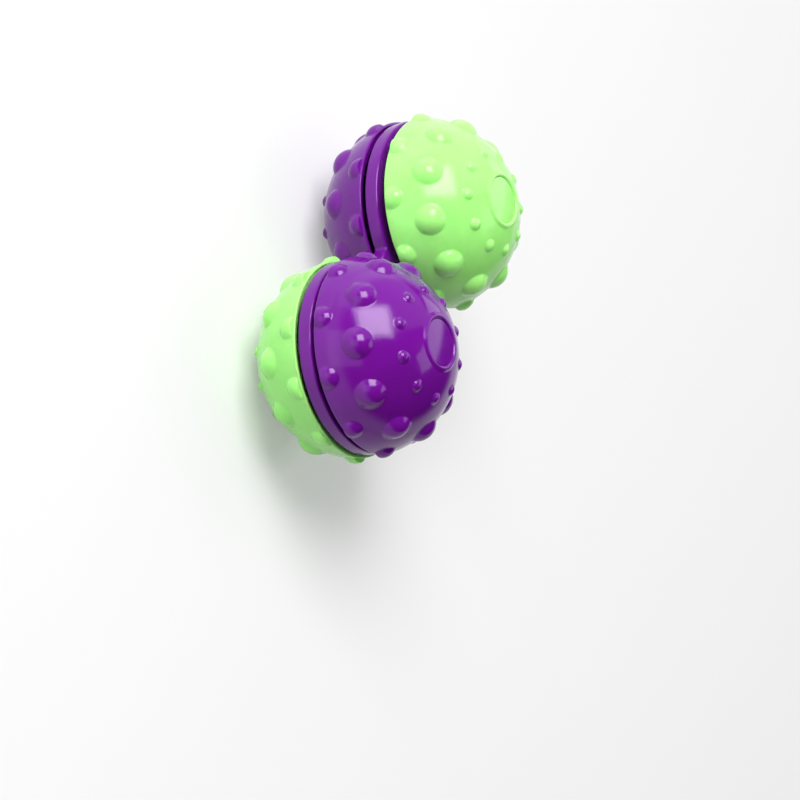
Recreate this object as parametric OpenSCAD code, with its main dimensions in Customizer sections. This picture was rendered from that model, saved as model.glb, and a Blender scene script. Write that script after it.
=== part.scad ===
// Fidget ball spinner: two knobbly balls that spin in the rings of one flat link.
// Millimetres. +Z runs up along the ball axles and +X along the link, from the left ball to the right one.
// The origin is midway between the balls, on the surface that the lower pole ridges rest on.

/* [Balls] */
// Diameter of a smooth ball, without its bumps
ball_d = 40; // [39:0.5:42]
// Gap between the two smooth balls
ball_gap = 3.3; // [3:0.1:8]
// Wall of a moulded half
wall = 2; // [1.6:0.1:2.4]
// Chamfer round the rim of a half
rim_chamfer = 0.3; // [0.2:0.05:0.3]
// Stiffening ribs between the screw boss and the wall of a half
rib_count = 5; // [3:1:8]
// Thickness of a rib
rib_t = 1.2; // [0.8:0.1:1.6]

/* [Bumps] */
// Bumps in each row round a half
bumps_in_row = 10; // [6:1:10]
// Angle from the rim up to the row beside it
rim_row_angle = 4.5; // [4:0.5:5.5]
// Width of a bump at the rim
rim_bump_d = 4.6; // [3.6:0.2:5]
// Height of a bump at the rim
rim_bump_h = 1.05; // [0.8:0.05:1.2]
// Smooth land between the rim and the flat ends of its bumps
rim_land = 0.45; // [0.4:0.05:0.7]
// Angle from the rim up to the row of large bumps
large_row_angle = 25; // [24:0.5:26]
// Width of a large bump
large_bump_d = 6.2; // [5.6:0.2:6.8]
// Height of a large bump
large_bump_h = 1.35; // [1.2:0.05:1.5]
// Angle from the rim up to the row of small bumps
small_row_angle = 50; // [48:0.5:51]
// Width of a small bump
small_bump_d = 2.5; // [2:0.1:3]
// Height of a small bump
small_bump_h = 0.6; // [0.4:0.05:0.8]

/* [Poles] */
// Outer diameter of the raised ridge round a pole cap
ridge_d = 12.1; // [11.6:0.1:12.6]
// Width of the flat crest of the ridge
ridge_crest = 0.45; // [0.3:0.05:0.6]
// Height of the crest above the smooth ball
ridge_h = 0.5; // [0.4:0.05:0.7]
// Diameter of a pole cap
cap_d = 9.5; // [9:0.1:9.8]
// Thickness of the disc of a pole cap
cap_t = 1.2; // [1:0.1:1.6]
// Depth of the middle of the cap's face below the crest
cap_sink = 0.15; // [0.1:0.05:0.3]
// Rise of the cap's face from its edge to its middle
cap_dome = 0.2; // [0.1:0.05:0.3]

/* [Link] */
// Thickness of the link
link_t = 2.9; // [2.4:0.1:3.4]
// Depth of the link's band below the smooth ball
band_inset = 0.6; // [0.2:0.1:1]
// Chamfer along the edges of the band and neck
band_chamfer = 0.3; // [0.2:0.05:0.5]
// Width of the neck between the rings
neck_w = 13.6; // [10:0.2:18]
// Outer diameter of the hub round a bearing
hub_d = 26; // [25:0.5:28]
// Height of the shoulder that a bearing is pressed against
shoulder_t = 0.7; // [0.5:0.1:1]

/* [Running gaps] */
// Gap between the link and the left ball's purple half
left_purple_gap = 1; // [0.5:0.05:1.9]
// Gap between the link and the left ball's green half
left_green_gap = 0.5; // [0.5:0.05:1.9]
// Gap between the link and the right ball's green half
right_green_gap = 1.85; // [0.5:0.05:1.9]
// Gap between the link and the right ball's purple half
right_purple_gap = 0.75; // [0.5:0.05:1.9]

/* [Bearings] */
// Outer diameter of a bearing
bearing_d = 22; // [22]
// Bore of a bearing
bearing_bore = 8; // [8]
// Width of a bearing
bearing_w = 7; // [7]
// Rolling balls in a bearing
rolling_balls = 7; // [6:1:8]
// Diameter of a rolling ball
rolling_ball_d = 3.969; // [3.969]

/* [Axles and screws] */
// Length of an axle sleeve
sleeve_len = 16; // [14:0.5:18]
// Thickness of the wall that a screw clamps
clamp_t = 2.6; // [2:0.1:3]
// Length of a screw under its head
screw_len = 8; // [6:0.5:9]
// Nominal diameter of a screw's thread
screw_d = 3; // [3]

/* [Turns at rest] */
// Turn of the left ball's purple half
left_purple_turn = 7.5; // [0:0.5:36]
// Turn of the left ball's green half
left_green_turn = 10.5; // [0:0.5:36]
// Turn of the right ball's green half
right_green_turn = 22.5; // [0:0.5:36]
// Turn of the right ball's purple half
right_purple_turn = 35; // [0:0.5:36]

/* [Hidden] */
$fn = 96;
dome_fn = 360;
purple = "#7c15a3";
green = "#aaf98c";
bright_steel = "#c9ccd1";
shield_steel = "#a9adb3";
plated_steel = "#b8bcc4";
cage_nylon = "#e8e4d8";

// Free space of a fit between pieces of one body, and reach of a cut past a face
fit = 0.01;
past = 1;

// Balls
ball_r = ball_d / 2;
inner_r = ball_r - wall;
axle_x = (ball_d + ball_gap) / 2;
row_pitch = 360 / bumps_in_row;

// Poles, as heights above a ball's centre
ridge_foot_z = sqrt(ball_r * ball_r - ridge_d * ridge_d / 4);
crest_z = ridge_foot_z + ridge_h;
cap_z = crest_z - cap_sink - cap_dome;
ledge_z = cap_z - cap_t;
ridge_flank = 0.6;
ridge_root = 0.9;
ridge_bury = 0.2;
ridge_lap = 0.5;
ridge_lap_drop = 1;
plug_d = 7.7;
plug_wall = 0.9;
plug_len = 1.6;
cap_edge = 0.15;
cap_flat_r = cap_d / 2 - cap_edge;
cap_dome_r = (cap_flat_r * cap_flat_r + cap_dome * cap_dome) / (2 * cap_dome);
ball_z = crest_z;

// Link
band_r = ball_r - band_inset;
shoulder_d = bearing_d - 1.6;

// Bearings
pitch_r = (bearing_d + bearing_bore) / 4;
rolling_r = rolling_ball_d / 2;
groove_r = rolling_r + 0.055;
pocket_r = rolling_r + 0.065;
inner_race_d = 12.1;
outer_race_bore = 17.9;
shield_seat_d = 19.24;
shield_d = 19.2;
shield_bore = 12.6;
shield_t = 0.35;
shield_z = bearing_w / 2 - 0.6;
cage_bore = 13.2;
cage_d = 16.8;
cage_bottom = -2.6;
cage_top = 0.8;

// Axles and screws
boss_d = inner_race_d - 0.7;
boss_z = bearing_w / 2;
rib_z = boss_z + 2.5;
socket_z = sleeve_len / 2 + 0.2;
head_z = socket_z + clamp_t;
head_d = 5.6;
head_t = 2.2;
drive_w = 0.7;
drive_l = 3.2;
drive_depth = 1.2;
screw_hole_d = screw_d + 0.4;
head_pocket_d = plug_d + 0.1;

// Places its children in the left or the right ball, with the ball's centre as their origin.
module in_left_ball() {
  translate([-axle_x, 0, ball_z]) children();
}

module in_right_ball() {
  translate([axle_x, 0, ball_z]) children();
}

// Turns a piece that is drawn for the top of a ball over to the bottom.
module turned_over() {
  rotate([180, 0, 0]) children();
}

// One round bump: the sphere that stands h above the smooth ball and meets it on a circle of width d.
module bump(d, h) {
  foot_z = sqrt(ball_r * ball_r - d * d / 4);
  rise = ball_r + h - foot_z;
  bump_r = (d * d / 4 + rise * rise) / (2 * rise);
  translate([0, 0, ball_r + h - bump_r]) sphere(r = bump_r);
}

// A row of bumps round a half at one latitude, the first of them at the angle start.
module bump_row(lat, d, h, start) {
  for (i = [0 : bumps_in_row - 1]) {
    rotate([0, 90 - lat, start + i * row_pitch]) bump(d, h);
  }
}

// The raised ridge round the pole cap, as a ring that stands on the ball. Its flank runs on into the ball, and its
// inside slopes in over the cap's seat, which is bored through it later.
module pole_ridge() {
  crest_r = ridge_d / 2 - ridge_flank;
  buried_r = ridge_d / 2 + ridge_bury * ridge_flank / ridge_h;
  lap_r = cap_d / 2 - ridge_lap;
  rotate_extrude() {
    polygon([
      [lap_r, ridge_foot_z - ridge_root],
      [ridge_d / 2, ridge_foot_z - ridge_root],
      [buried_r, ridge_foot_z - ridge_bury],
      [crest_r, crest_z],
      [crest_r - ridge_crest, crest_z],
      [lap_r, crest_z - ridge_lap_drop]
    ]);
  }
}

// The hollow between the wall, the screw boss and the ribs of a half.
module half_hollow() {
  difference() {
    sphere(r = inner_r);
    translate([0, 0, boss_z]) cylinder(d = boss_d, h = ball_r);
    for (i = [0 : rib_count - 1]) {
      rotate([0, 0, (i + 0.5) * 360 / rib_count]) {
        translate([boss_d / 2 - past, -rib_t / 2, rib_z]) cube([ball_r, rib_t, ball_r]);
      }
    }
  }
}

// Everything that is bored along the axle of a half: sleeve socket, screw hole, head pocket and cap seat.
module half_bores() {
  cylinder(d = bearing_bore + 2 * fit, h = socket_z);
  cylinder(d = screw_hole_d, h = ball_r);
  translate([0, 0, head_z]) cylinder(d = head_pocket_d, h = ball_r);
  translate([0, 0, ledge_z]) cylinder(d = cap_d + 2 * fit, h = ball_r);
}

// The smooth wall of a half above its rim, with a chamfer along the rim's edge.
module smooth_wall(rim_z) {
  foot_r = sqrt(ball_r * ball_r - rim_z * rim_z) - rim_chamfer;
  intersection() {
    sphere(r = ball_r);
    translate([0, 0, rim_z]) cylinder(r1 = foot_r, r2 = foot_r + ball_r, h = ball_r);
  }
}

// The three staggered rows of bumps, with the row beside the rim cut off flat above it.
module half_bumps(rim_z) {
  rim_lat = asin(rim_z / ball_r);
  intersection() {
    bump_row(rim_lat + rim_row_angle, rim_bump_d, rim_bump_h, 0);
    translate([0, 0, rim_z + rim_land]) cylinder(r = ball_d, h = ball_r);
  }
  bump_row(rim_lat + large_row_angle, large_bump_d, large_bump_h, row_pitch / 2);
  bump_row(rim_lat + small_row_angle, small_bump_d, small_bump_h, 0);
}

// A moulded half that clears the link by gap: bumped wall, ridge at the pole, screw boss and ribs.
module half_shell(gap) {
  rim_z = link_t / 2 + gap;
  difference() {
    union() {
      smooth_wall(rim_z);
      half_bumps(rim_z);
      pole_ridge();
    }
    half_hollow();
    half_bores();
  }
}

// A snap-in pole cap: a domed disc with a chamfered edge on a hollow plug.
module pole_cap() {
  difference() {
    intersection() {
      union() {
        translate([0, 0, ledge_z]) cylinder(d = cap_d, h = cap_t - cap_edge);
        translate([0, 0, cap_z - cap_edge]) {
          cylinder(d1 = cap_d, d2 = cap_d - 2 * (cap_edge + past), h = cap_edge + past);
        }
        translate([0, 0, ledge_z - plug_len]) cylinder(d = plug_d, h = plug_len + cap_t / 2);
      }
      translate([0, 0, cap_z + cap_dome - cap_dome_r]) sphere(r = cap_dome_r, $fn = dome_fn);
    }
    translate([0, 0, ledge_z - plug_len - past]) cylinder(d = plug_d - 2 * plug_wall, h = plug_len + past);
  }
}

// A pan-head screw with a cross recess, its head on the clamped wall of a half.
module pan_head_screw() {
  difference() {
    union() {
      translate([0, 0, head_z]) cylinder(d = head_d, h = head_t);
      translate([0, 0, head_z - screw_len]) cylinder(d = screw_d, h = screw_len + head_t / 2);
    }
    for (a = [0, 90]) {
      rotate([0, 0, a]) {
        translate([-drive_l / 2, -drive_w / 2, head_z + head_t - drive_depth]) {
          cube([drive_l, drive_w, drive_depth + past]);
        }
      }
    }
  }
}

// A tapped tube through the bearing that centres both halves.
module axle_sleeve() {
  difference() {
    cylinder(d = bearing_bore - 2 * fit, h = sleeve_len, center = true);
    cylinder(d = screw_d + 2 * fit, h = sleeve_len + 2 * past, center = true);
  }
}

// The round groove that the rolling balls run in, as a solid ring.
module ball_groove() {
  rotate_extrude() translate([pitch_r, 0]) circle(r = groove_r);
}

module bearing_outer_race() {
  difference() {
    cylinder(d = bearing_d, h = bearing_w, center = true);
    cylinder(d = outer_race_bore, h = bearing_w + 2 * past, center = true);
    translate([0, 0, shield_z]) cylinder(d = shield_seat_d, h = bearing_w);
    turned_over() translate([0, 0, shield_z]) cylinder(d = shield_seat_d, h = bearing_w);
    ball_groove();
  }
}

module bearing_inner_race() {
  difference() {
    cylinder(d = inner_race_d, h = bearing_w, center = true);
    cylinder(d = bearing_bore, h = bearing_w + 2 * past, center = true);
    ball_groove();
  }
}

// The rolling balls of a bearing, or the pockets that hold them.
module ball_circle(r) {
  for (i = [0 : rolling_balls - 1]) {
    rotate([0, 0, i * 360 / rolling_balls]) translate([pitch_r, 0, 0]) sphere(r = r);
  }
}

// A crown cage: a ring with open pockets that the balls snap into.
module bearing_cage() {
  difference() {
    translate([0, 0, cage_bottom]) cylinder(d = cage_d, h = cage_top - cage_bottom);
    cylinder(d = cage_bore, h = bearing_w, center = true);
    ball_circle(pocket_r);
  }
}

// A thin disc in the mouth of the outer race that keeps dust off the balls.
module bearing_shield() {
  translate([0, 0, shield_z]) {
    difference() {
      cylinder(d = shield_d, h = shield_t);
      translate([0, 0, -past]) cylinder(d = shield_bore, h = shield_t + 2 * past);
    }
  }
}

// One ring of the link: a plate with a chamfered band and a hub for the bearing.
module link_ring() {
  flat_r = band_r - band_chamfer;
  flat_z = link_t / 2 - band_chamfer;
  difference() {
    union() {
      rotate_extrude() {
        polygon([
          [bearing_d / 2 - past, -link_t / 2], [flat_r, -link_t / 2], [band_r, -flat_z],
          [band_r, flat_z], [flat_r, link_t / 2], [bearing_d / 2 - past, link_t / 2]
        ]);
      }
      translate([0, 0, -bearing_w / 2 - shoulder_t]) cylinder(d = hub_d, h = bearing_w + shoulder_t);
    }
    link_ring_bores();
  }
}

// The bearing's seat and the smaller hole through the shoulder below it.
module link_ring_bores() {
  translate([0, 0, -bearing_w / 2]) cylinder(d = bearing_d + 2 * fit, h = bearing_w + past);
  cylinder(d = shoulder_d, h = bearing_d, center = true);
}

// The straight bar between the two rings, with the same chamfer as the bands.
module link_neck() {
  flat_y = neck_w / 2 - band_chamfer;
  flat_z = link_t / 2 - band_chamfer;
  neck_half = axle_x - hub_d / 2;
  translate([-neck_half, 0, ball_z]) {
    rotate([90, 0, 90]) {
      linear_extrude(height = 2 * neck_half) {
        polygon([
          [-flat_y, -link_t / 2], [flat_y, -link_t / 2], [neck_w / 2, -flat_z], [neck_w / 2, flat_z],
          [flat_y, link_t / 2], [-flat_y, link_t / 2], [-neck_w / 2, flat_z], [-neck_w / 2, -flat_z]
        ]);
      }
    }
  }
}

module link_frame() {
  color(purple) {
    in_left_ball() link_ring();
    in_right_ball() link_ring();
    link_neck();
  }
}

// Left ball: purple half on top, green half below
module left_purple_half() {
  color(purple) in_left_ball() rotate([0, 0, left_purple_turn]) half_shell(left_purple_gap);
}

module left_green_half() {
  color(green) in_left_ball() rotate([0, 0, left_green_turn]) turned_over() half_shell(left_green_gap);
}

module left_purple_cap() {
  color(purple) in_left_ball() pole_cap();
}

module left_green_cap() {
  color(green) in_left_ball() turned_over() pole_cap();
}

module left_top_screw() {
  color(plated_steel) in_left_ball() pan_head_screw();
}

module left_bottom_screw() {
  color(plated_steel) in_left_ball() turned_over() pan_head_screw();
}

module left_axle_sleeve() {
  color(plated_steel) in_left_ball() axle_sleeve();
}

module left_bearing_outer_race() {
  color(bright_steel) in_left_ball() bearing_outer_race();
}

module left_bearing_inner_race() {
  color(bright_steel) in_left_ball() bearing_inner_race();
}

module left_bearing_balls() {
  color(bright_steel) in_left_ball() ball_circle(rolling_r);
}

module left_bearing_cage() {
  color(cage_nylon) in_left_ball() bearing_cage();
}

module left_bearing_top_shield() {
  color(shield_steel) in_left_ball() bearing_shield();
}

module left_bearing_bottom_shield() {
  color(shield_steel) in_left_ball() turned_over() bearing_shield();
}

// Right ball: green half on top, purple half below
module right_green_half() {
  color(green) in_right_ball() rotate([0, 0, right_green_turn]) half_shell(right_green_gap);
}

module right_purple_half() {
  color(purple) in_right_ball() rotate([0, 0, right_purple_turn]) turned_over() half_shell(right_purple_gap);
}

module right_green_cap() {
  color(green) in_right_ball() pole_cap();
}

module right_purple_cap() {
  color(purple) in_right_ball() turned_over() pole_cap();
}

module right_top_screw() {
  color(plated_steel) in_right_ball() pan_head_screw();
}

module right_bottom_screw() {
  color(plated_steel) in_right_ball() turned_over() pan_head_screw();
}

module right_axle_sleeve() {
  color(plated_steel) in_right_ball() axle_sleeve();
}

module right_bearing_outer_race() {
  color(bright_steel) in_right_ball() bearing_outer_race();
}

module right_bearing_inner_race() {
  color(bright_steel) in_right_ball() bearing_inner_race();
}

module right_bearing_balls() {
  color(bright_steel) in_right_ball() ball_circle(rolling_r);
}

module right_bearing_cage() {
  color(cage_nylon) in_right_ball() bearing_cage();
}

module right_bearing_top_shield() {
  color(shield_steel) in_right_ball() bearing_shield();
}

module right_bearing_bottom_shield() {
  color(shield_steel) in_right_ball() turned_over() bearing_shield();
}

link_frame();
left_purple_half();
left_green_half();
left_purple_cap();
left_green_cap();
left_top_screw();
left_bottom_screw();
left_axle_sleeve();
left_bearing_outer_race();
left_bearing_inner_race();
left_bearing_balls();
left_bearing_cage();
left_bearing_top_shield();
left_bearing_bottom_shield();
right_green_half();
right_purple_half();
right_green_cap();
right_purple_cap();
right_top_screw();
right_bottom_screw();
right_axle_sleeve();
right_bearing_outer_race();
right_bearing_inner_race();
right_bearing_balls();
right_bearing_cage();
right_bearing_top_shield();
right_bearing_bottom_shield();
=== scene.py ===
"""Fidget ball spinner: two knobbly moulded balls that spin in the rings of one flat link.

Metres, in the frame of the packed part: +Z along the ball axles, +X along the link, the floor at Z = 0.
"""

import math

import bmesh
import bpy
import numpy as np
from bpy.props import FloatProperty, FloatVectorProperty, IntProperty, PointerProperty
from mathutils import Matrix, Vector


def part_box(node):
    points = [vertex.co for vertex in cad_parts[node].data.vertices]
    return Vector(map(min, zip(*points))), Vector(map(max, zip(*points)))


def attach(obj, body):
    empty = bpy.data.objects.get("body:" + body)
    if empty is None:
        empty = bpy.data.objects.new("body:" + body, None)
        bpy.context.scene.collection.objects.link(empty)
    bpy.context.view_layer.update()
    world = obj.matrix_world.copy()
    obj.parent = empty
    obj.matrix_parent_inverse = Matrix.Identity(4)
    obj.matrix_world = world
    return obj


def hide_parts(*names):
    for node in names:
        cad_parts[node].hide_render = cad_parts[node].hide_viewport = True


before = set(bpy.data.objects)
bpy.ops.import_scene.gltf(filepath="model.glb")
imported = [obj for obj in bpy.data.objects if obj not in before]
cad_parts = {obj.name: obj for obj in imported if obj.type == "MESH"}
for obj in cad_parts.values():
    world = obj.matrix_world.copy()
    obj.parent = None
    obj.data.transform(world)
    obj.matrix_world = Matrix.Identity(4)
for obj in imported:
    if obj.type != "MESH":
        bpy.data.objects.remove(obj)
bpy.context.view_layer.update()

bl_info = {
    "name": "Fidget Ball Spinner",
    "version": (1, 0, 0),
    "blender": (4, 5, 0),
    "location": "View3D > Sidebar > Spinner",
    "description": "Builds the half shells, pole caps, link and finishes of a fidget ball spinner",
    "category": "Object",
}

MM = 0.001

# The two axle sleeves are alike, so their right-hand sides are as far apart as the axles. The balls' centres
# are halfway up them.
LEFT_SLEEVE, RIGHT_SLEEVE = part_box("left_axle_sleeve"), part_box("right_axle_sleeve")
AXLE_OFFSET_MM = (RIGHT_SLEEVE[1].x - LEFT_SLEEVE[1].x) / 2 / MM
AXLE_HEIGHT_MM = (RIGHT_SLEEVE[0].z + RIGHT_SLEEVE[1].z) / 2 / MM

# Small roundings of the half shells.
RIDGE_FOOT_ROUND = 0.08 * MM
CREST_ROUND = 0.13 * MM
CAP_SEAT_ROUND = 0.06 * MM
REBATE_ROUND = 0.1 * MM
LIP_ROUND = 0.08 * MM

# Small roundings of the link's hubs.
HUB_ROUND = 0.25 * MM
HUB_MOUTH_ROUND = 0.15 * MM
HUB_SEAT_ROUND = 0.05 * MM
HUB_SHOULDER_ROUND = 0.2 * MM

# The play round a cap, the depth of its seat's mouth below the crest, and the space from ridge to skin.
CAP_PLAY = 0.01 * MM
CAP_SEAT_DROP = 0.32 * MM
RIDGE_SPACE = 0.12 * MM

# The height in which the flat end of a rim bump comes out, and the height of the close rows there.
FLAT_END_HEIGHT = 0.12 * MM
FLAT_END_ROWS_HEIGHT = 0.14 * MM

# The latitude from which a ball's bumps rise straight from its centre, and the angle kept free between the
# rows of the inner wall and the rebate.
CENTRED_LATITUDE = math.radians(30)
WALL_END = 0.01

# Faces that meet at a greater angle have a sharp edge, and points that are closer are welded.
SHARP_ANGLE = math.radians(40)
WELD_DISTANCE = 0.001 * MM

# Columns and rows of the grids, and the steps in which the density of the skin's rows is summed.
COLUMNS_PER_BUMP = 64
SKIN_ROWS = 98
DENSITY_STEPS = 800
LAND_ROWS = 2
FLAT_END_ROWS = 5
WALL_ROWS = 10
CAP_COLUMNS = 180
CAP_FACE_ROWS = 13
NECK_STEPS = 6
FILLET_STEPS = 11
RING_STEPS = 300
EDGE_ROWS = 6

# Each half's ball and colour, the sign of its ball's X, and whether it is the lower one.
HALVES = (
    ("left", "purple", -1.0, False),
    ("left", "green", -1.0, True),
    ("right", "green", 1.0, False),
    ("right", "purple", 1.0, True),
)

# How each plastic differs: how dark the painted shade in its creases is, the tint of its reflections, and
# how light soaks in.
PLASTICS = {
    "purple": {"painted_crease_darkness": 0.55, "sheen": (0.97, 0.85, 1.0)},
    "green": {
        "painted_crease_darkness": 0.9,
        "sheen": (0.8, 1.0, 0.85),
        "glow": 0.7,
        "depth_mm": 1.5,
        "soak": (0.6, 1.0, 0.5),
    },
}

# The range in which most values of a noise lie.
NOISE_RANGE = (0.3, 0.7)

# The picture's axes: from the part to the camera, and up in the picture.
PICTURE_BACK = (-0.679464, 0.520922, 0.516690)
PICTURE_UP = (0.671339, 0.725529, 0.151362)
CAMERA_TARGET = (-0.017317, -0.015603, 0.019535)
CAMERA_DISTANCE = 1.0
CAMERA_LENS_MM = 225.0
CAMERA_SENSOR_MM = 36.0
CAMERA_CLIP = (0.01, 100.0)

# Each lamp's direction from the part, its width and height in degrees, its distance, its level and its up.
LAMPS = {
    "key_softbox": ((0.03, 0.70, 0.71), 40, 40, 0.9, "key_level", PICTURE_UP),
    "key_core": ((0.03, 0.70, 0.71), 31, 31, 0.88, "core_level", PICTURE_UP),
    "upper_panel": ((0.62, 0.55, 0.56), 75, 75, 1.2, "upper_level", PICTURE_UP),
    "long_strip": ((0.57, -0.38, 0.73), 22, 70, 0.9, "strip_level", (0.75, 0.12, -0.55)),
    "side_softbox": ((-0.62, 0.72, 0.30), 40, 40, 0.9, "side_level", PICTURE_UP),
}

# The floor: half its width, its drop below the part, and the distances between which its own light grows.
FLOOR_HALF_WIDTH = 20.0
FLOOR_DROP = 0.02 * MM
FLOOR_NEAR = 0.3
FLOOR_FAR = 1.5

# Sines of the angles above the horizon between which the backdrop fades.
BACKDROP_FADE = (0.1, 0.3)


def length(name, description, millimetres):
    """A length property, with its default given in millimetres."""
    return FloatProperty(
        name=name, description=description, default=millimetres * MM, min=0.0, unit="LENGTH", precision=5
    )


def angle(name, description, degrees):
    """An angle property, with its default given in degrees."""
    return FloatProperty(name=name, description=description, default=math.radians(degrees), subtype="ANGLE")


def share(name, description, default):
    """A plain factor from 0 to 1."""
    return FloatProperty(
        name=name, description=description, default=default, min=0.0, max=1.0, subtype="FACTOR"
    )


def brightness(name, description, default):
    """A level of light, where white is 1."""
    return FloatProperty(name=name, description=description, default=default, min=0.0)


def tint(name, description, default):
    """A scene-linear colour property."""
    return FloatVectorProperty(
        name=name, description=description, default=default, size=3, min=0.0, max=1.0, subtype="COLOR"
    )


class SpinnerSizes(bpy.types.PropertyGroup):
    """Sizes of the moulded pieces"""

    axle_offset: length("Axle offset", "Distance of an axle from the middle of the link", AXLE_OFFSET_MM)
    axle_height: length("Axle height", "Height of the balls' centres above the floor", AXLE_HEIGHT_MM)
    ball_radius: length("Ball radius", "Radius of a smooth ball, without its bumps", 20.0)
    wall: length("Wall", "Wall of a half shell", 2.0)
    rim_round: length("Rim rounding", "Rounding along the rim of a half", 0.3)
    lip_width: length("Lip width", "Width of the thin lip along the rim of a half", 0.5)
    rebate_depth: length("Rebate depth", "Depth of the step inside the lip of a rim", 0.75)
    rim_land: length("Rim land", "Smooth strip between the rim and the flat ends of the rim bumps", 0.45)
    crease_round: length("Crease rounding", "Depth of the rounding where a bump meets the ball", 0.22)
    bumps_in_row: IntProperty(
        name="Bumps in a row", description="Bumps in each row round a half", default=10, min=3
    )
    rim_angle: angle("Rim row", "Angle from the rim up to the row beside it", 4.5)
    rim_width: length("Rim bump width", "Width of a bump at the rim", 4.6)
    rim_rise: length("Rim bump height", "Height of a bump at the rim", 1.05)
    large_angle: angle("Large row", "Angle from the rim up to the row of large bumps", 25.0)
    large_width: length("Large bump width", "Width of a large bump", 6.2)
    large_rise: length("Large bump height", "Height of a large bump", 1.35)
    small_angle: angle("Small row", "Angle from the rim up to the row of small bumps", 50.0)
    small_width: length("Small bump width", "Width of a small bump", 2.5)
    small_rise: length("Small bump height", "Height of a small bump", 0.6)
    ridge_radius: length("Ridge radius", "Outer radius of the ridge round a pole cap", 6.05)
    crest_width: length("Crest width", "Width of the ridge's flat crest", 0.45)
    ridge_flank: length("Ridge flank", "Width of the ridge's sloping outer side", 0.6)
    cap_radius: length("Cap radius", "Radius of a pole cap", 4.75)
    cap_sink: length("Cap depth", "Depth of the middle of a cap's face below the crest", 0.15)
    cap_dome: length("Cap dome", "Rise of a cap's face from its edge to its middle", 0.2)
    cap_thick: length("Cap thickness", "Thickness of a cap's disc", 1.2)
    cap_round: length("Cap rounding", "Rounding along the edge of a cap's face", 0.16)
    plug_radius: length("Plug radius", "Radius of the plug under a cap", 3.85)
    plug_bore: length("Plug bore", "Radius of the hollow in the plug", 2.95)
    plug_length: length("Plug length", "Length of the plug", 1.6)
    pocket_radius: length("Pocket radius", "Radius of the pocket for a screw's head", 3.9)
    pocket_floor: length("Pocket floor", "Height of the pocket's floor above a ball's centre", 10.8)
    hole_radius: length("Screw hole radius", "Radius of the hole for a screw", 1.7)
    socket_radius: length("Socket radius", "Radius of the socket for the axle sleeve", 4.01)
    socket_roof: length("Socket roof", "Height of the socket's roof above a ball's centre", 8.2)
    boss_radius: length("Boss radius", "Radius of the screw boss inside a half", 5.7)
    bearing_width: length("Bearing width", "Width of the bearing between the two bosses of a ball", 7.0)
    band_radius: length("Band radius", "Radius of the link's rings", 19.4)
    link_thick: length("Link thickness", "Thickness of the link", 2.9)
    link_round: length("Link rounding", "Rounding along the link's edges", 0.42)
    neck_width: length("Neck width", "Width of the neck between the rings", 13.6)
    neck_fillet: length("Neck fillet", "Rounding where the neck meets a ring", 0.7)
    hub_radius: length("Hub radius", "Radius of the hub in each ring of the link", 13.0)
    seat_radius: length("Seat radius", "Radius of the bearing's seat in a hub", 11.01)
    shoulder_radius: length("Shoulder radius", "Radius of the hole in the shoulder below the seat", 10.2)
    shoulder_thick: length("Shoulder thickness", "Thickness of the shoulder below the seat", 0.7)
    left_purple_gap: length("Left purple gap", "Gap between the link and the left purple half", 1.0)
    left_green_gap: length("Left green gap", "Gap between the link and the left green half", 0.5)
    right_green_gap: length("Right green gap", "Gap between the link and the right green half", 1.85)
    right_purple_gap: length("Right purple gap", "Gap between the link and the right purple half", 0.75)
    left_purple_turn: angle("Left purple turn", "Turn of the left purple half about its axle", 7.5)
    left_green_turn: angle("Left green turn", "Turn of the left green half about its axle", 10.5)
    right_green_turn: angle("Right green turn", "Turn of the right green half about its axle", 22.5)
    right_purple_turn: angle("Right purple turn", "Turn of the right purple half about its axle", 35.0)


class SpinnerColours(bpy.types.PropertyGroup):
    """Colours of the finishes"""

    purple: tint("Purple plastic", "Colour of the purple moulded plastic", (0.150, 0.0050, 0.266))
    green: tint("Green plastic", "Colour of the green moulded plastic", (0.39, 0.97, 0.235))
    steel: tint("Ground steel", "Colour of the bearing races and balls", (0.58, 0.59, 0.61))
    shield: tint("Pressed steel", "Colour of the bearing shields", (0.45, 0.46, 0.48))
    plated: tint("Plated steel", "Colour of the screws and sleeves", (0.62, 0.64, 0.68))
    nylon: tint("Cage nylon", "Colour of the bearing cages", (0.80, 0.76, 0.66))
    floor: tint("Floor", "Colour of the floor", (0.80, 0.80, 0.80))
    bounce: tint("Bounce", "Colour that the floor throws back on the part", (0.70, 0.70, 0.70))


class SpinnerStage(bpy.types.PropertyGroup):
    """Levels of the studio light, as radiance where white is 1"""

    key_level: brightness("Key", "Brightness of the key softbox", 4.1)
    core_level: brightness("Key core", "Brightness added by the key's core", 5.5)
    upper_level: brightness("Upper", "Brightness of the upper panel", 0.6)
    strip_level: brightness("Strip", "Brightness of the long strip", 1.7)
    side_level: brightness("Side", "Brightness of the side softbox", 0.8)
    room_level: brightness("Room", "Brightness of the even room light", 0.14)
    backdrop_level: brightness("Backdrop", "Brightness of the backdrop where it is seen", 0.85)
    ceiling_level: brightness("Ceiling", "Brightness of the ceiling where it is seen", 0.005)
    floor_lift: share("Floor lift", "Share of the seen floor's brightness that is its own", 0.3)
    far_lift: share("Far floor lift", "The same share out where the lamps don't reach", 0.9)


def smooth_step(x):
    """0 below 0, 1 above 1, and 3x^2 - 2x^3 between."""
    x = np.clip(x, 0.0, 1.0)
    return x * x * (3.0 - 2.0 * x)


def circle_points(angles):
    """Points of the unit circle at the given angles."""
    return np.stack([np.cos(angles), np.sin(angles)], axis=-1)


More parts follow.
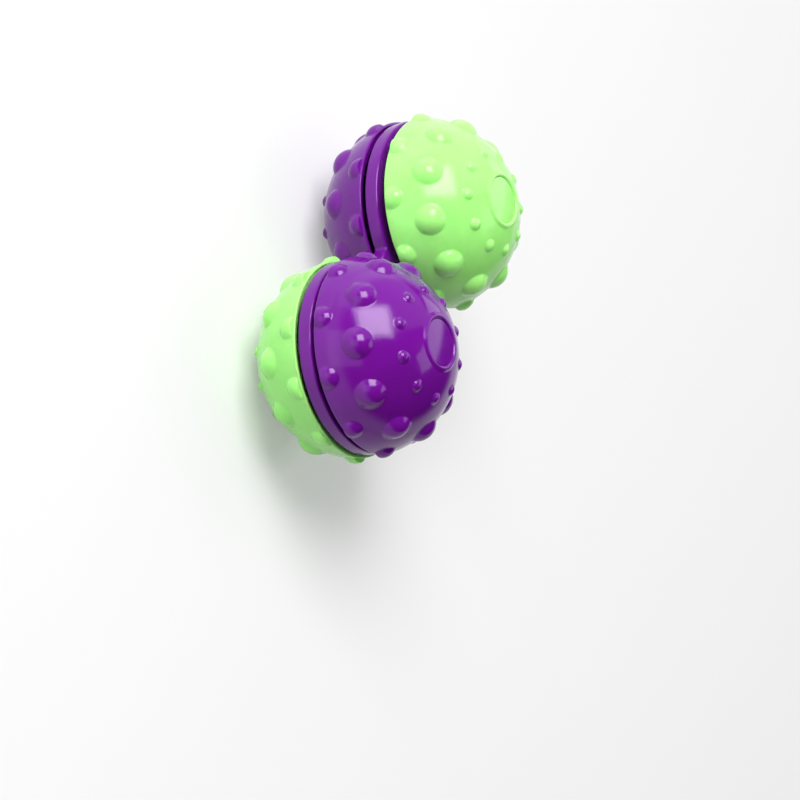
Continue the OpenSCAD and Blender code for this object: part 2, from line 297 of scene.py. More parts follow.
def rounded(start, corners, end, steps=4):
    """Outline from start through corners to end, as points (radius, height).

    A corner is (radius, height, rounding). It is replaced by the quadratic curve that leaves one side and
    joins the next at the rounding's distance from the corner, with the corner as its control point.
    """
    corners = np.asarray(corners, float)
    points, rounds = corners[:, :2], corners[:, 2:]
    before = np.vstack([[start], points[:-1]]) - points
    after = np.vstack([points[1:], [end]]) - points
    leave = points + rounds * before / np.linalg.norm(before, axis=1, keepdims=True)
    join = points + rounds * after / np.linalg.norm(after, axis=1, keepdims=True)
    t = np.linspace(0.0, 1.0, steps)[None, :, None]
    curve = (1 - t) ** 2 * leave[:, None] + 2 * t * (1 - t) * points[:, None] + t**2 * join[:, None]
    return curve.reshape(-1, 2)


def turned(profile, azimuth):
    """Surface of revolution: every point (radius, height) of the profile carried round the axle."""
    radius, height = profile[:, 0, None], profile[:, 1, None]
    return np.stack(
        [radius * np.cos(azimuth), radius * np.sin(azimuth), height + 0.0 * azimuth], axis=-1
    )


def grid_quads(rows, columns, closed_rows=False, closed_columns=False):
    """Corner numbers of the quads of a grid, whose rows or columns may close on themselves."""
    number = np.arange(rows * columns).reshape(rows, columns)
    if closed_rows:
        number = np.vstack([number, number[:1]])
    if closed_columns:
        number = np.hstack([number, number[:, :1]])
    corners = [number[:-1, :-1], number[:-1, 1:], number[1:, 1:], number[1:, :-1]]
    return np.stack(corners, axis=-1).reshape(-1, 4)


def outward(points, faces):
    """The quads, turned over if they face inwards.

    They face outwards if the sum of their triangles' triple products, six times the volume, is positive.
    """
    a, b, c, d = np.moveaxis(points[faces], 1, 0)
    volume = np.einsum("ij,ij->", np.cross(a, b), c) + np.einsum("ij,ij->", np.cross(a, c), d)
    return faces if volume > 0 else faces[:, ::-1]


def new_piece(name, points, faces, weld=False, **values):
    """A mesh object from points and quads, smooth but for its sharp edges.

    It gets one float attribute for each of values. Welding joins points that coincide, which closes poles
    and seams.
    """
    mesh = bpy.data.meshes.new(name)
    mesh.vertices.add(len(points))
    mesh.vertices.foreach_set("co", np.ascontiguousarray(points, np.float32).ravel())
    mesh.loops.add(faces.size)
    mesh.loops.foreach_set("vertex_index", np.ascontiguousarray(faces, np.int32).ravel())
    mesh.polygons.add(len(faces))
    mesh.polygons.foreach_set("loop_start", np.arange(0, faces.size, faces.shape[1], dtype=np.int32))
    mesh.update(calc_edges=True)
    for label, value in values.items():
        attribute = mesh.attributes.new(label, "FLOAT", "POINT")
        attribute.data.foreach_set("value", np.ascontiguousarray(value, np.float32).ravel())
    if weld:
        shape = bmesh.new()
        shape.from_mesh(mesh)
        bmesh.ops.remove_doubles(shape, verts=shape.verts, dist=WELD_DISTANCE)
        shape.to_mesh(mesh)
        shape.free()
    if mesh.validate():
        raise RuntimeError(f"{name} has broken faces")
    mesh.shade_smooth()
    mesh.set_sharp_from_angle(angle=SHARP_ANGLE)
    piece = bpy.data.objects.new(name, mesh)
    bpy.context.scene.collection.objects.link(piece)
    return piece


def settle(piece, material, body, slot, *nodes):
    """Gives a piece its finish and the body it moves with, and hides the nodes it stands for. Its slot is
    not used.
    """
    piece.data.materials.append(material)
    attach(piece, body)
    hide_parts(*nodes)


def placed(points, sizes, side, turn, over):
    """Points carried from a ball's own axes to its place.

    They are turned over about X for a lower half, turned about the axle, and moved out to the ball's side.
    """
    flip = -1.0 if over else 1.0
    x, y, z = points[..., 0], flip * points[..., 1], flip * points[..., 2]
    c, s = math.cos(turn), math.sin(turn)
    return np.stack(
        [c * x - s * y + side * sizes.axle_offset, s * x + c * y, z + sizes.axle_height], axis=-1
    )


class Finish:
    """A material being put together from nodes."""

    def __init__(self, name):
        self.material = bpy.data.materials.new(name)
        self.material.use_nodes = True
        self.tree = self.material.node_tree
        self.shader = self.tree.nodes["Principled BSDF"]
        self.place = self.tree.nodes.new("ShaderNodeTexCoord").outputs["Object"]

    def join(self, value, socket):
        """Links an output to a socket, or sets the socket to a plain value."""
        if isinstance(value, bpy.types.NodeSocket):
            self.tree.links.new(value, socket)
        else:
            socket.default_value = value

    def noise(self, size_mm, detail=2.0, roughness=0.5, place=None):
        """Noise from 0 to 1 with grains about size_mm across, on Object coordinates or another place."""
        node = self.tree.nodes.new("ShaderNodeTexNoise")
        self.join(self.place if place is None else place, node.inputs["Vector"])
        node.inputs["Scale"].default_value = 1.0 / (size_mm * MM)
        node.inputs["Detail"].default_value = detail
        node.inputs["Roughness"].default_value = roughness
        return node.outputs["Fac"]

    def stretched(self, factor, turn):
        """Object coordinates turned by angles about X, Y and Z, and stretched along X by a factor."""
        node = self.tree.nodes.new("ShaderNodeMapping")
        node.inputs["Rotation"].default_value = turn
        node.inputs["Scale"].default_value = (1.0 / factor, 1.0, 1.0)
        self.join(self.place, node.inputs["Vector"])
        return node.outputs["Vector"]

    def distance(self):
        """Distance from the origin."""
        node = self.tree.nodes.new("ShaderNodeVectorMath")
        node.operation = "LENGTH"
        self.join(self.place, node.inputs[0])
        return node.outputs["Value"]

    def attribute(self, label):
        """The piece's own float attribute."""
        node = self.tree.nodes.new("ShaderNodeAttribute")
        node.attribute_name = label
        return node.outputs["Fac"]

    def spread(self, value, from_low, from_high, to_low=0.0, to_high=1.0):
        """Carries a value from one range to another, clamped."""
        node = self.tree.nodes.new("ShaderNodeMapRange")
        self.join(value, node.inputs["Value"])
        ends = {"From Min": from_low, "From Max": from_high, "To Min": to_low, "To Max": to_high}
        for label, number in ends.items():
            node.inputs[label].default_value = number
        return node.outputs["Result"]

    def maths(self, kind, first, second=0.0):
        """One step of arithmetic."""
        node = self.tree.nodes.new("ShaderNodeMath")
        node.operation = kind
        self.join(first, node.inputs[0])
        self.join(second, node.inputs[1])
        return node.outputs[0]

    def mixed(self, factor, first, second):
        """A colour between two colours."""
        node = self.tree.nodes.new("ShaderNodeMix")
        node.data_type = "RGBA"
        self.join(factor, node.inputs["Factor"])
        for label, value in (("A", first), ("B", second)):
            socket = [s for s in node.inputs if s.name == label and s.type == "RGBA"][0]
            self.join(value if isinstance(value, bpy.types.NodeSocket) else (*value, 1.0), socket)
        return [s for s in node.outputs if s.type == "RGBA"][0]

    def relief(self, height, depth_mm, under=None):
        """Bump of that depth from a height of 0 to 1, on top of another if one is given."""
        node = self.tree.nodes.new("ShaderNodeBump")
        node.inputs["Strength"].default_value = 1.0
        node.inputs["Distance"].default_value = depth_mm * MM
        self.join(height, node.inputs["Height"])
        if under is not None:
            self.join(under, node.inputs["Normal"])
        return node.outputs["Normal"]

    def set(self, **values):
        """Sets the shader's sockets by name, with underscores for spaces."""
        for label, value in values.items():
            self.join(value, self.shader.inputs[label.replace("_", " ")])


def scaled(colour, factor):
    """A colour made lighter or darker, kept within 0 and 1."""
    return tuple(min(1.0, max(0.0, c * factor)) for c in colour)


def moulded_plastic(name, colour, painted_crease_darkness, sheen, glow=0.0, depth_mm=1.0, soak=(1.0, 1.0, 1.0)):
    """Glossy moulded plastic.

    It has soft clouds in the colour from the melt's flow, fine pale flecks, painted shade that darkens its
    creases, crests that are a little paler, orange-peel relief, and hairline scratches that dull the
    gloss. Its reflections have the tint sheen. Light soaks in by depth_mm, shared between red, green and
    blue by soak, with the weight glow.
    """
    finish = Finish(name)
    cloud = finish.spread(finish.noise(size_mm=9.0, detail=3.0, roughness=0.6), *NOISE_RANGE)
    fleck = finish.spread(finish.noise(size_mm=0.45), 0.66, 0.78, to_high=0.2)
    # painted shade: the colour is darkened towards the creases
    painted_shade_mask = finish.spread(finish.attribute("crease"), 0.0, 1.0, to_high=0.25)
    # the colour is a little paler towards the bump crests
    crest_paling = finish.spread(finish.attribute("rise"), 0.2, 1.0, to_high=0.12)
    base = finish.mixed(cloud, scaled(colour, 0.93), scaled(colour, 1.05))
    base = finish.mixed(fleck, base, scaled(colour, 1.3))
    # painted shade: a darker copy of the colour is mixed in near the creases
    base = finish.mixed(painted_shade_mask, base, scaled(colour, painted_crease_darkness))
    base = finish.mixed(crest_paling, base, scaled(colour, 1.2))
    first_hairs = finish.noise(size_mm=0.09, detail=1.0, place=finish.stretched(40.0, (0.4, 0.9, 0.3)))
    other_hairs = finish.noise(size_mm=0.11, detail=1.0, place=finish.stretched(30.0, (1.2, 0.2, 1.1)))
    hairs = finish.maths(
        "MAXIMUM", finish.spread(first_hairs, 0.68, 0.76), finish.spread(other_hairs, 0.69, 0.77)
    )
    patches = finish.spread(finish.noise(size_mm=5.0), 0.42, 0.62, to_low=0.1)
    worn = finish.maths("MULTIPLY", hairs, patches)
    gloss = finish.spread(finish.noise(size_mm=2.4, detail=3.0), *NOISE_RANGE, 0.10, 0.13)
    orange_peel = finish.relief(finish.noise(size_mm=0.8), depth_mm=0.003)
    finish.set(
        Base_Color=base,
        Roughness=finish.maths("ADD", gloss, finish.maths("MULTIPLY", worn, 0.14)),
        Normal=finish.relief(worn, depth_mm=0.003, under=orange_peel),
        IOR=1.46,
        Specular_Tint=(*sheen, 1.0),
        Subsurface_Weight=glow,
        Subsurface_Radius=soak,
        Subsurface_Scale=depth_mm * MM,
    )
    return finish.material


def turned_metal(name, colour, axle_offset, roughness):
    """Machined steel, with faint marks and with fine rings about the nearer axle.

    The rings are noise on the distance from that axle and on the height.
    """
    finish = Finish(name)
    apart = finish.tree.nodes.new("ShaderNodeSeparateXYZ")
    finish.join(finish.place, apart.inputs[0])
    x, y, z = apart.outputs
    across = finish.maths("SUBTRACT", finish.maths("ABSOLUTE", x), axle_offset)
    square = finish.maths("ADD", finish.maths("MULTIPLY", across, across), finish.maths("MULTIPLY", y, y))
    rings = finish.tree.nodes.new("ShaderNodeCombineXYZ")
    finish.join(finish.maths("SQRT", square), rings.inputs["X"])
    finish.join(z, rings.inputs["Y"])
    line = finish.noise(size_mm=0.08, detail=3.0, place=rings.outputs[0])
    bright = finish.spread(line, *NOISE_RANGE)
    mark = finish.spread(finish.noise(size_mm=1.5, detail=3.0), 0.6, 0.8, to_high=0.3)
    base = finish.mixed(bright, scaled(colour, 0.9), scaled(colour, 1.08))
    finish.set(
        Base_Color=finish.mixed(mark, base, scaled(colour, 0.6)),
        Metallic=1.0,
        Roughness=finish.maths("ADD", finish.spread(line, *NOISE_RANGE, to_high=0.1), roughness),
        Normal=finish.relief(line, depth_mm=0.002),
    )
    return finish.material


def moulded_nylon(name, colour):
    """Natural nylon: milky, softly mottled and slightly grained."""
    finish = Finish(name)
    cloud = finish.spread(finish.noise(size_mm=1.2, detail=3.0), *NOISE_RANGE)
    finish.set(
        Base_Color=finish.mixed(cloud, scaled(colour, 0.88), scaled(colour, 1.04)),
        Roughness=finish.spread(finish.noise(size_mm=0.3), *NOISE_RANGE, 0.38, 0.5),
        Normal=finish.relief(finish.noise(size_mm=0.2), depth_mm=0.004),
        Subsurface_Weight=0.2,
        Subsurface_Scale=0.8 * MM,
    )
    return finish.material


def plastic(shade):
    """The purple or green plastic, made once."""
    name = f"{shade}_plastic_moulded"
    made = bpy.data.materials.get(name)
    if made is not None:
        return made
    colour = getattr(bpy.context.scene.spinner_colours, shade)
    return moulded_plastic(name, tuple(colour), **PLASTICS[shade])


def bump_sphere(ball_radius, width, rise):
    """Sphere that stands rise above the ball and meets it on a circle of that width.

    Its radius is half its height above that circle, plus the width squared over eight times that height.
    Returns the radius, and the distance of its centre from the ball's centre.
    """
    foot = math.sqrt(ball_radius**2 - width**2 / 4)
    stand = ball_radius + rise - foot
    radius = (width**2 / 4 + stand**2) / (2 * stand)
    return radius, ball_radius + rise - radius


def bump_rows(sizes):
    """Each row of bumps: its angle above the rim, its bumps' width and height, and its turn in pitches."""
    return (
        (sizes.rim_angle, sizes.rim_width, sizes.rim_rise, 0.0),
        (sizes.large_angle, sizes.large_width, sizes.large_rise, 0.5),
        (sizes.small_angle, sizes.small_width, sizes.small_rise, 0.0),
    )


def skin_latitudes(sizes, rim):
    """Latitudes of the rows of the outer skin.

    There are a few on the rim land, close ones up the flat ends of the rim bumps, then rows to the foot of
    the pole ridge, a third as dense between the bumps as across them.
    """
    ball = sizes.ball_radius
    first = math.asin((rim + sizes.rim_round) / ball)
    land = math.asin((rim + sizes.rim_land) / ball)
    face = land + FLAT_END_ROWS_HEIGHT / ball
    top = math.acos((sizes.ridge_radius + RIDGE_SPACE) / ball)
    fine = np.linspace(face, top, DENSITY_STEPS)
    density = np.full_like(fine, 1 / 3)
    for above_rim, width, _, _ in bump_rows(sizes):
        reach = (width / 2 + 2 * sizes.crease_round) / ball
        density[np.abs(fine - math.asin(rim / ball) - above_rim) < reach] = 1.0
    filled = np.cumsum(density)
    skin = np.interp(np.linspace(filled[0], filled[-1], SKIN_ROWS), filled, fine)
    lowest = np.linspace(first, land, LAND_ROWS + 1)[:-1]
    flat_ends = np.linspace(land, face, FLAT_END_ROWS + 1)[:-1]
    return np.concatenate([lowest, flat_ends, skin])


def bumped_skin(sizes, rim, azimuth):
    """Outside of a half shell, from the rim land up to the foot of the pole ridge.

    Rows follow latitude and columns azimuth. Through every point of the smooth ball goes a ray that starts
    on the axle, level with the lowest row at that row and at the ball's centre from the centred latitude
    up. The point is moved out along its ray to the rounded maximum of the ball and of the nearest bump's
    sphere: where the two lengths differ by less than the crease rounding c, c/4 (1 - difference/c)^2 is
    added. The move fades in over a hair above the rim land, which leaves the rim bumps with flat ends.
    Also returns the move as a share of a large bump's height and the nearness to a crease, both 0 to 1.
    """
    ball, pitch = sizes.ball_radius, 2 * math.pi / sizes.bumps_in_row
    lat = skin_latitudes(sizes, rim)[:, None]
    base_r, base_z = ball * np.cos(lat), ball * np.sin(lat)
    lowest, rim_lat = lat[0, 0], math.asin(rim / ball)
    start = base_z[0] * (1 - np.clip((lat - lowest) / (CENTRED_LATITUDE - lowest), 0, 1)) ** 2
    reach = np.hypot(base_r, base_z - start)
    out, up = base_r / reach, (base_z - start) / reach
    highest = np.zeros((len(lat), len(azimuth)))
    for above_rim, width, rise, offset in bump_rows(sizes):
        row_lat = rim_lat + above_rim
        radius, distance = bump_sphere(ball, width, rise)
        # The azimuth from the row's nearest bump, and its sphere's centre seen from the ray's start.
        aside = (azimuth / pitch - offset + 0.5) % 1.0 * pitch - pitch / 2
        centre_r, centre_z = distance * math.cos(row_lat), distance * math.sin(row_lat) - start
        # The ray leaves the sphere half a chord beyond its point nearest to the centre.
        nearest = centre_r * out * np.cos(aside) + centre_z * up
        half_chord_square = nearest**2 - centre_r**2 - centre_z**2 + radius**2
        leaves = np.where(half_chord_square > 0, nearest + np.sqrt(np.maximum(half_chord_square, 0)), 0)
        highest = np.maximum(highest, leaves)
    crease = sizes.crease_round
    near = np.clip(1 - np.abs(highest - reach) / crease, 0, 1)
    move = np.maximum(highest - reach, 0) + crease / 4 * near**2
    move = move * smooth_step((base_z - rim - sizes.rim_land) / FLAT_END_HEIGHT)
    moved = reach + move
    points = np.stack(
        [moved * out * np.cos(azimuth), moved * out * np.sin(azimuth), start + moved * up], axis=-1
    )
    return points, np.clip(move / sizes.large_rise, 0, 1), near


def half_profile(sizes, rim):
    """The rest of a half shell's closed outline, as points (radius, height).

    It goes over the pole ridge, down the cap seat, the screw's pocket and hole and the sleeve's socket,
    round the boss, down the inner wall, out along the rebate and over the lip.
    """
    ball, inner = sizes.ball_radius, sizes.ball_radius - sizes.wall
    crest, crest_out = sizes.axle_height, sizes.ridge_radius - sizes.ridge_flank
    skin_top = sizes.ridge_radius + RIDGE_SPACE
    seat = sizes.cap_radius + CAP_PLAY
    ledge = crest - sizes.cap_sink - sizes.cap_dome - sizes.cap_thick
    pole = rounded(
        (skin_top, math.sqrt(ball**2 - skin_top**2)),
        [
            (sizes.ridge_radius, math.sqrt(ball**2 - sizes.ridge_radius**2), RIDGE_FOOT_ROUND),
            (crest_out, crest, CREST_ROUND),
            (crest_out - sizes.crest_width, crest, CREST_ROUND),
            (seat, crest - CAP_SEAT_DROP, CAP_SEAT_ROUND),
        ],
        (seat, ledge),
    )
    boss_foot = sizes.bearing_width / 2
    bores = [
        (seat, ledge),
        (sizes.pocket_radius, ledge),
        (sizes.pocket_radius, sizes.pocket_floor),
        (sizes.hole_radius, sizes.pocket_floor),
        (sizes.hole_radius, sizes.socket_roof),
        (sizes.socket_radius, sizes.socket_roof),
        (sizes.socket_radius, boss_foot),
        (sizes.boss_radius, boss_foot),
    ]
    step = rim + sizes.rebate_depth
    wall_top, wall_end = math.acos(sizes.boss_radius / inner), math.asin(step / inner) + WALL_END
    wall = inner * circle_points(np.linspace(wall_top, wall_end, WALL_ROWS))
    skin_z = rim + sizes.rim_round
    skin_r = math.sqrt(ball**2 - skin_z**2)
    lip_r = skin_r - sizes.lip_width
    lip = rounded(
        wall[-1],
        [
            (math.sqrt(inner**2 - step**2), step, REBATE_ROUND),
            (lip_r, step, REBATE_ROUND),
            (lip_r, rim, LIP_ROUND),
            (skin_r, rim, sizes.rim_round),
        ],
        (skin_r, skin_z),
    )
    return np.vstack([pole, bores, wall, lip[:-1]])


def half_shell_surface(sizes, gap):
    """A half shell that clears the link by gap, drawn for the top of a ball as one closed grid.

    The bumped skin comes first, then the turned rest of the outline. Also returns the rise and crease
    values of every point, which are 0 away from the skin.
    """
    columns = COLUMNS_PER_BUMP * sizes.bumps_in_row
    azimuth = np.arange(columns) * 2 * math.pi / columns
    rim = sizes.link_thick / 2 + gap
    skin, rise, crease = bumped_skin(sizes, rim, azimuth)
    rest = turned(half_profile(sizes, rim), azimuth)
    plain = np.zeros(rest.shape[:2])
    return np.concatenate([skin, rest]), np.concatenate([rise, plain]), np.concatenate([crease, plain])


class SPINNER_OT_half_shells(bpy.types.Operator):
    """Build the four knobbly half shells"""

    bl_idname = "spinner.half_shells"
    bl_label = "Half Shells"

    def execute(self, context):
        sizes = context.scene.spinner_sizes
        for side, colour, sign, over in HALVES:
            gap, turn = getattr(sizes, f"{side}_{colour}_gap"), getattr(sizes, f"{side}_{colour}_turn")
            surface, rise, crease = half_shell_surface(sizes, gap)
            points = placed(surface, sizes, sign, turn, over).reshape(-1, 3)
            faces = grid_quads(*surface.shape[:2], closed_rows=True, closed_columns=True)
            node = f"{side}_{colour}_half"
            piece = new_piece(f"{node}_shell", points, outward(points, faces), rise=rise, crease=crease)
            settle(piece, plastic(colour), f"{side}_ball", f"{colour}_plastic", node)
        return {"FINISHED"}


def cap_surface(sizes):
    """A pole cap, turned from the middle of its face to the middle of its underside.

    It is a domed disc with a rounded edge on a hollow plug. The face falls from its middle by the dome
    times the square of the share of its radius. The first and last rows lie on the axle.
    """
    edge, plug, hollow = sizes.cap_radius, sizes.plug_radius, sizes.plug_bore
    middle = sizes.axle_height - sizes.cap_sink
    ledge = middle - sizes.cap_dome - sizes.cap_thick
    plug_end = ledge - sizes.plug_length
    out = np.linspace(0.0, 1.0, CAP_FACE_ROWS)
    face = np.stack([out * (edge - sizes.cap_round), middle - sizes.cap_dome * out**2], axis=1)
    rim = rounded(face[-2], [(edge, face[-1, 1], sizes.cap_round)], (edge, ledge), steps=EDGE_ROWS)
    under = [
        (edge, ledge),
        (plug, ledge),
        (plug, plug_end),
        (hollow, plug_end),
        (hollow, ledge),
        (0.0, ledge),
    ]
    azimuth = np.arange(CAP_COLUMNS) * 2 * math.pi / CAP_COLUMNS
    return turned(np.vstack([face[:-1], rim, under]), azimuth)


class SPINNER_OT_pole_caps(bpy.types.Operator):
    """Build the four snap-in pole caps"""

    bl_idname = "spinner.pole_caps"
    bl_label = "Pole Caps"

    def execute(self, context):
        sizes = context.scene.spinner_sizes
        surface = cap_surface(sizes)
        faces = grid_quads(*surface.shape[:2], closed_columns=True)
        for side, colour, sign, over in HALVES:
            turn = getattr(sizes, f"{side}_{colour}_turn")
            points = placed(surface, sizes, sign, turn, over).reshape(-1, 3)
            node = f"{side}_{colour}_cap"
            piece = new_piece(f"{node}_disc", points, outward(points, faces), weld=True)
            settle(piece, plastic(colour), f"{side}_ball", f"{colour}_plastic", node)
        return {"FINISHED"}


def ring_outline(sizes):
    """Half of the link's outline, about the left ring's axle.

    It starts on the neck halfway between the balls, follows the neck's straight side and a small fillet on
    to the ring's circle, goes round it and comes back along the neck's other side. A fillet's centre lies
    where its distance from the axle is the band's radius plus its own and its distance from the neck's
    side is its own. Also returns the outward direction at each point, and the angle at which the hub meets
    it.
    """
    band, fillet, side = sizes.band_radius, sizes.neck_fillet, sizes.neck_width / 2
    middle_x = math.sqrt((band + fillet) ** 2 - (side + fillet) ** 2)
    meet = math.atan2(side + fillet, middle_x)
    along = np.linspace(sizes.axle_offset, middle_x, NECK_STEPS + 1)[:-1]
    straight = np.stack([along, np.full(NECK_STEPS, side)], axis=1)
    inward = circle_points(np.linspace(-math.pi / 2, meet - math.pi, FILLET_STEPS + 1)[:-1])
    bend = np.array([middle_x, side + fillet]) + fillet * inward
    sweep = np.linspace(meet, 2 * math.pi - meet, RING_STEPS + 1)
    circle = circle_points(sweep)
    mirror = np.array([1.0, -1.0])
    points = np.vstack([straight, bend, band * circle, bend[::-1] * mirror, straight[::-1] * mirror])
    up = np.tile([0.0, 1.0], (NECK_STEPS, 1))
    out = np.vstack([up, -inward, circle, -inward[::-1] * mirror, -up])
    lead = np.linspace(0.0, meet, NECK_STEPS + FILLET_STEPS + 1)[:-1]
    polar = np.concatenate([lead, sweep, 2 * math.pi - lead[::-1]])
    return points, out, polar


def hub_profile(sizes):
    """A ring's hub as points (radius, height).

    It goes from the plate's upper face over the hub and through it to the lower face. The bearing's seat
    is as high as the bearing, and stops below it at a shoulder.
    """
    half, seat_half = sizes.link_thick / 2, sizes.bearing_width / 2
    hub, seat, shoulder = sizes.hub_radius, sizes.seat_radius, sizes.shoulder_radius
    foot = -seat_half - sizes.shoulder_thick
    plate = hub + HUB_ROUND
    return rounded(
        (plate, half),
        [
            (hub, half, HUB_ROUND),
            (hub, seat_half, HUB_ROUND),
            (seat, seat_half, HUB_MOUTH_ROUND),
            (seat, -seat_half, HUB_SEAT_ROUND),
            (shoulder, -seat_half, HUB_SEAT_ROUND),
            (shoulder, foot, HUB_SHOULDER_ROUND),
            (hub, foot, HUB_ROUND),
            (hub, -half, HUB_ROUND),
        ],
        (plate, -half),
    )


def band_profile(sizes):
    """The link's rounded edge as points (depth inside the outline, height), from below upwards.

    It is a quarter circle, a flat, and the same quarter circle mirrored.
    """
    half, edge = sizes.link_thick / 2, sizes.link_round
    turn = np.linspace(-math.pi / 2, 0.0, EDGE_ROWS)
    quarter = np.stack([edge * (1 - np.cos(turn)), -half + edge * (1 + np.sin(turn))], axis=1)
    height = np.linspace(-half + edge, half - edge, EDGE_ROWS)[1:-1]
    flat = np.stack([np.zeros_like(height), height], axis=1)
    return np.vstack([quarter, flat, (quarter * [1.0, -1.0])[::-1]])


def link_surface(sizes):
    """Points and quads of the link as one closed surface.

    A ring's hub and bore are turned about its axle. Its plate runs from the foot of the hub to the
    outline, and the outline carries the rounded band: each band row is the outline moved inwards by its
    depth. The right ring is the left one turned half round, and one quad on each face closes the plate
    between the hubs.
    """
    outline, out, polar = ring_outline(sizes)
    hub, band = hub_profile(sizes), band_profile(sizes)
    flat_rows = outline[None] - band[:, 0, None, None] * out[None]
    heights = np.broadcast_to(band[:, 1, None, None], flat_rows[..., :1].shape)
    ring = np.concatenate([turned(hub, polar), np.concatenate([flat_rows, heights], axis=-1)])
    rows, columns = ring.shape[:2]
    ring = ring.reshape(-1, 3) + [-sizes.axle_offset, 0.0, 0.0]
    points = np.vstack([ring, ring * [-1.0, -1.0, 1.0]]) + [0.0, 0.0, sizes.axle_height]
    quads = grid_quads(rows, columns, closed_rows=True)
    number = np.arange(rows * columns).reshape(rows, columns)
    other, hub_end, band_start = rows * columns, number[len(hub) - 1], number[len(hub)]
    between = [
        (number[0, 0], number[-1, -1], other + number[0, 0], number[-1, 0]),
        (hub_end[0], band_start[0], other + hub_end[0], band_start[-1]),
    ]
    return points, np.vstack([quads, quads + other, between])


class SPINNER_OT_link(bpy.types.Operator):
    """Build the flat link with its two rings, hubs and neck"""

    bl_idname = "spinner.link"
    bl_label = "Link"

    def execute(self, context):
        points, faces = link_surface(context.scene.spinner_sizes)
        piece = new_piece("link_plate", points, outward(points, faces), weld=True)
        settle(piece, plastic("purple"), "link", "purple_plastic", "link_frame")
        return {"FINISHED"}


class SPINNER_OT_inner_finishes(bpy.types.Operator):
    """Give the bearings, sleeves and screws their finishes"""

    bl_idname = "spinner.inner_finishes"
    bl_label = "Inner Finishes"

    def execute(self, context):
        colours = context.scene.spinner_colours
        offset = context.scene.spinner_sizes.axle_offset
        steel = turned_metal("bearing_steel_ground", tuple(colours.steel), offset, roughness=0.16)
        finishes = {
            "race": steel,
            "balls": steel,
            "shield": turned_metal("shield_steel_pressed", tuple(colours.shield), offset, roughness=0.3),
            "sleeve": turned_metal("sleeve_steel_turned", tuple(colours.plated), offset, roughness=0.24),
            "screw": turned_metal("screw_steel_plated", tuple(colours.plated), offset, roughness=0.28),
            "cage": moulded_nylon("cage_nylon_natural", tuple(colours.nylon)),
        }
        for name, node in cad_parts.items():
            material = finishes.get(name.split("_")[-1])
            if material is not None:
                node.data.materials.clear()
                node.data.materials.append(material)
        return {"FINISHED"}


def aimed(direction, up, distance, target):
    """Place that far from the target in a direction, facing it with its own Y as near to up as it goes."""
    back = Vector(direction).normalized()
    right = Vector(up).cross(back).normalized()
    above = back.cross(right)
    turn = Matrix((right, above, back)).transposed().to_4x4()
    return Matrix.Translation(Vector(target) + back * distance) @ turn


def softbox(name, direction, wide, tall, distance, level, up, target):
    """A rectangular lamp that fills the given angles, in degrees, as seen from the target.

    Its power is its brightness times pi times its area.
    """
    lamp = bpy.data.lights.new(name, "AREA")
    lamp.shape = "RECTANGLE"
    lamp.size = 2 * distance * math.tan(math.radians(wide) / 2)
    lamp.size_y = 2 * distance * math.tan(math.radians(tall) / 2)
    lamp.energy = level * math.pi * lamp.size * lamp.size_y
    box = bpy.data.objects.new(name, lamp)
    box.matrix_world = aimed(direction, up, distance, target)
    bpy.context.scene.collection.objects.link(box)


def seen(tree):
    """1 for a ray from the camera, a reflection or a refraction, and 0 for a ray of scattered light."""
    path = tree.nodes.new("ShaderNodeLightPath")
    total = path.outputs["Is Camera Ray"]
    for label in ("Is Glossy Ray", "Is Transmission Ray"):
        node = tree.nodes.new("ShaderNodeMath")
        node.operation = "MAXIMUM"
        tree.links.new(total, node.inputs[0])
        tree.links.new(path.outputs[label], node.inputs[1])
        total = node.outputs[0]
    return total


def studio_floor(colour, bounce, lift, far_lift):
    """A flat pale floor just below the part, as a grid of four by four squares.

    Where it is seen, a share of its brightness is its own and the rest is the light that falls on it,
    which keeps the part's shadow. The share grows from lift near the part to far_lift.
    """
    along = np.linspace(-FLOOR_HALF_WIDTH, FLOOR_HALF_WIDTH, 5)
    x, y = np.meshgrid(along, along, indexing="xy")
    points = np.stack([x, y, np.full_like(x, -FLOOR_DROP)], axis=-1)
    floor = new_piece("studio_floor", points.reshape(-1, 3), grid_quads(*points.shape[:2]))
    finish = Finish("pale_floor")
    cloud = finish.spread(finish.noise(size_mm=60.0), *NOISE_RANGE)
    own = finish.spread(finish.distance(), FLOOR_NEAR, FLOOR_FAR, lift, far_lift)
    base = finish.mixed(cloud, scaled(colour, 0.995), scaled(colour, 1.005))
    base = finish.mixed(own, base, (0.0, 0.0, 0.0))
    shown = seen(finish.tree)
    finish.set(
        Base_Color=finish.mixed(shown, bounce, base),
        Roughness=0.9,
        Specular_IOR_Level=0.0,
        Emission_Color=(1.0, 1.0, 1.0, 1.0),
        Emission_Strength=finish.maths("MULTIPLY", shown, own),
    )
    floor.data.materials.append(finish.material)


def studio_world(room, backdrop, ceiling):
    """Soft room light, which falls on the part evenly from all sides.

    Where the room is seen, also in reflections, it is a pale backdrop at the horizon that fades to a dark
    ceiling.
    """
    world = bpy.data.worlds.new("soft_studio")
    bpy.context.scene.world = world
    world.use_nodes = True
    tree = world.node_tree
    background = tree.nodes["Background"]
    background.inputs["Color"].default_value = (1.0, 1.0, 1.0, 1.0)
    place = tree.nodes.new("ShaderNodeTexCoord")
    apart = tree.nodes.new("ShaderNodeSeparateXYZ")
    fade = tree.nodes.new("ShaderNodeMapRange")
    fade.interpolation_type = "SMOOTHSTEP"
    fade.inputs["From Min"].default_value, fade.inputs["From Max"].default_value = BACKDROP_FADE
    fade.inputs["To Min"].default_value, fade.inputs["To Max"].default_value = backdrop, ceiling
    tree.links.new(place.outputs["Generated"], apart.inputs[0])
    tree.links.new(apart.outputs["Z"], fade.inputs["Value"])
    level = tree.nodes.new("ShaderNodeMapRange")
    level.inputs["To Min"].default_value = room
    tree.links.new(seen(tree), level.inputs["Value"])
    tree.links.new(fade.outputs["Result"], level.inputs["To Max"])
    tree.links.new(level.outputs["Result"], background.inputs["Strength"])


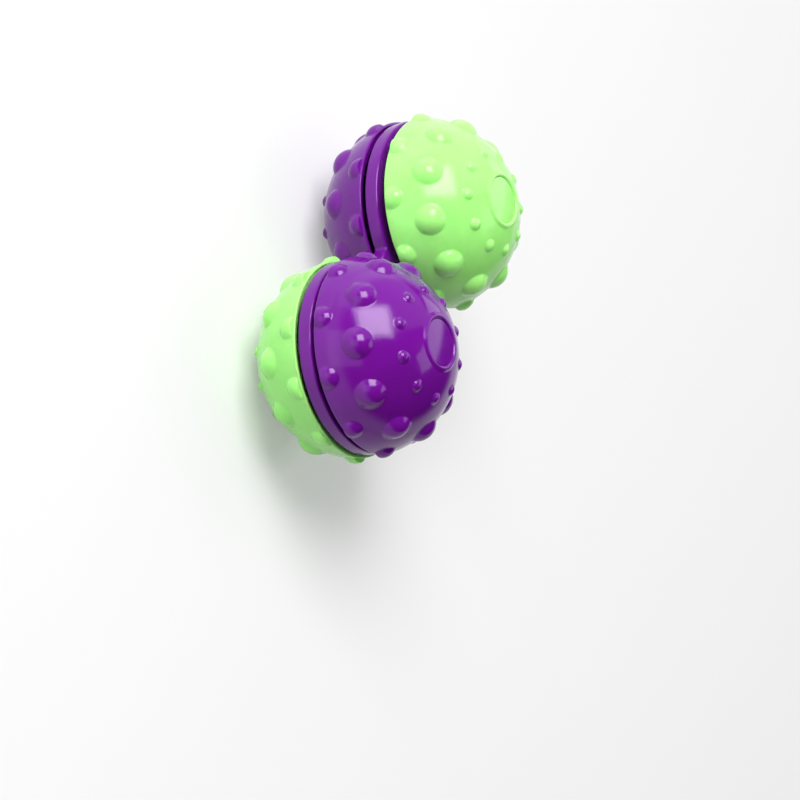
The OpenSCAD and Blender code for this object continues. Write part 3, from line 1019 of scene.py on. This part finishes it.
def photo_camera():
    """The camera, at the photograph's viewing angle."""
    lens = bpy.data.cameras.new("camera")
    lens.lens = CAMERA_LENS_MM
    lens.sensor_width = CAMERA_SENSOR_MM
    lens.clip_start, lens.clip_end = CAMERA_CLIP
    camera = bpy.data.objects.new("camera", lens)
    camera.matrix_world = aimed(PICTURE_BACK, PICTURE_UP, CAMERA_DISTANCE, CAMERA_TARGET)
    bpy.context.scene.collection.objects.link(camera)
    bpy.context.scene.camera = camera


class SPINNER_OT_stage(bpy.types.Operator):
    """Set up the floor, the lamps and the camera"""

    bl_idname = "spinner.stage"
    bl_label = "Stage"

    def execute(self, context):
        stage, colours = context.scene.spinner_stage, context.scene.spinner_colours
        middle = (0.0, 0.0, context.scene.spinner_sizes.axle_height)
        studio_floor(tuple(colours.floor), tuple(colours.bounce), stage.floor_lift, stage.far_lift)
        studio_world(stage.room_level, stage.backdrop_level, stage.ceiling_level)
        for name, (direction, wide, tall, distance, level, up) in LAMPS.items():
            softbox(name, direction, wide, tall, distance, getattr(stage, level), up, middle)
        photo_camera()
        context.scene.view_settings.view_transform = "Standard"
        return {"FINISHED"}


class SPINNER_PT_panel(bpy.types.Panel):
    """Pieces, sizes and colours of the spinner"""

    bl_idname = "SPINNER_PT_panel"
    bl_label = "Fidget Ball Spinner"
    bl_space_type = "VIEW_3D"
    bl_region_type = "UI"
    bl_category = "Spinner"

    def draw(self, context):
        for operator in OPERATORS:
            self.layout.operator(operator.bl_idname)
        for label, group in GROUPS.items():
            box = self.layout.box()
            box.label(text=group.__doc__)
            for name in group.__annotations__:
                box.prop(getattr(context.scene, label), name)


GROUPS = {"spinner_sizes": SpinnerSizes, "spinner_colours": SpinnerColours, "spinner_stage": SpinnerStage}
OPERATORS = (
    SPINNER_OT_half_shells,
    SPINNER_OT_pole_caps,
    SPINNER_OT_link,
    SPINNER_OT_inner_finishes,
    SPINNER_OT_stage,
)


def register():
    for cls in (*GROUPS.values(), *OPERATORS, SPINNER_PT_panel):
        bpy.utils.register_class(cls)
    for label, group in GROUPS.items():
        setattr(bpy.types.Scene, label, PointerProperty(type=group))


def unregister():
    for label in GROUPS:
        delattr(bpy.types.Scene, label)
    for cls in (SPINNER_PT_panel, *reversed(OPERATORS), *reversed(GROUPS.values())):
        bpy.utils.unregister_class(cls)


def main():
    register()
    bpy.ops.spinner.half_shells()
    bpy.ops.spinner.pole_caps()
    bpy.ops.spinner.link()
    bpy.ops.spinner.inner_finishes()
    bpy.ops.spinner.stage()


if __name__ == "__main__":
    main()
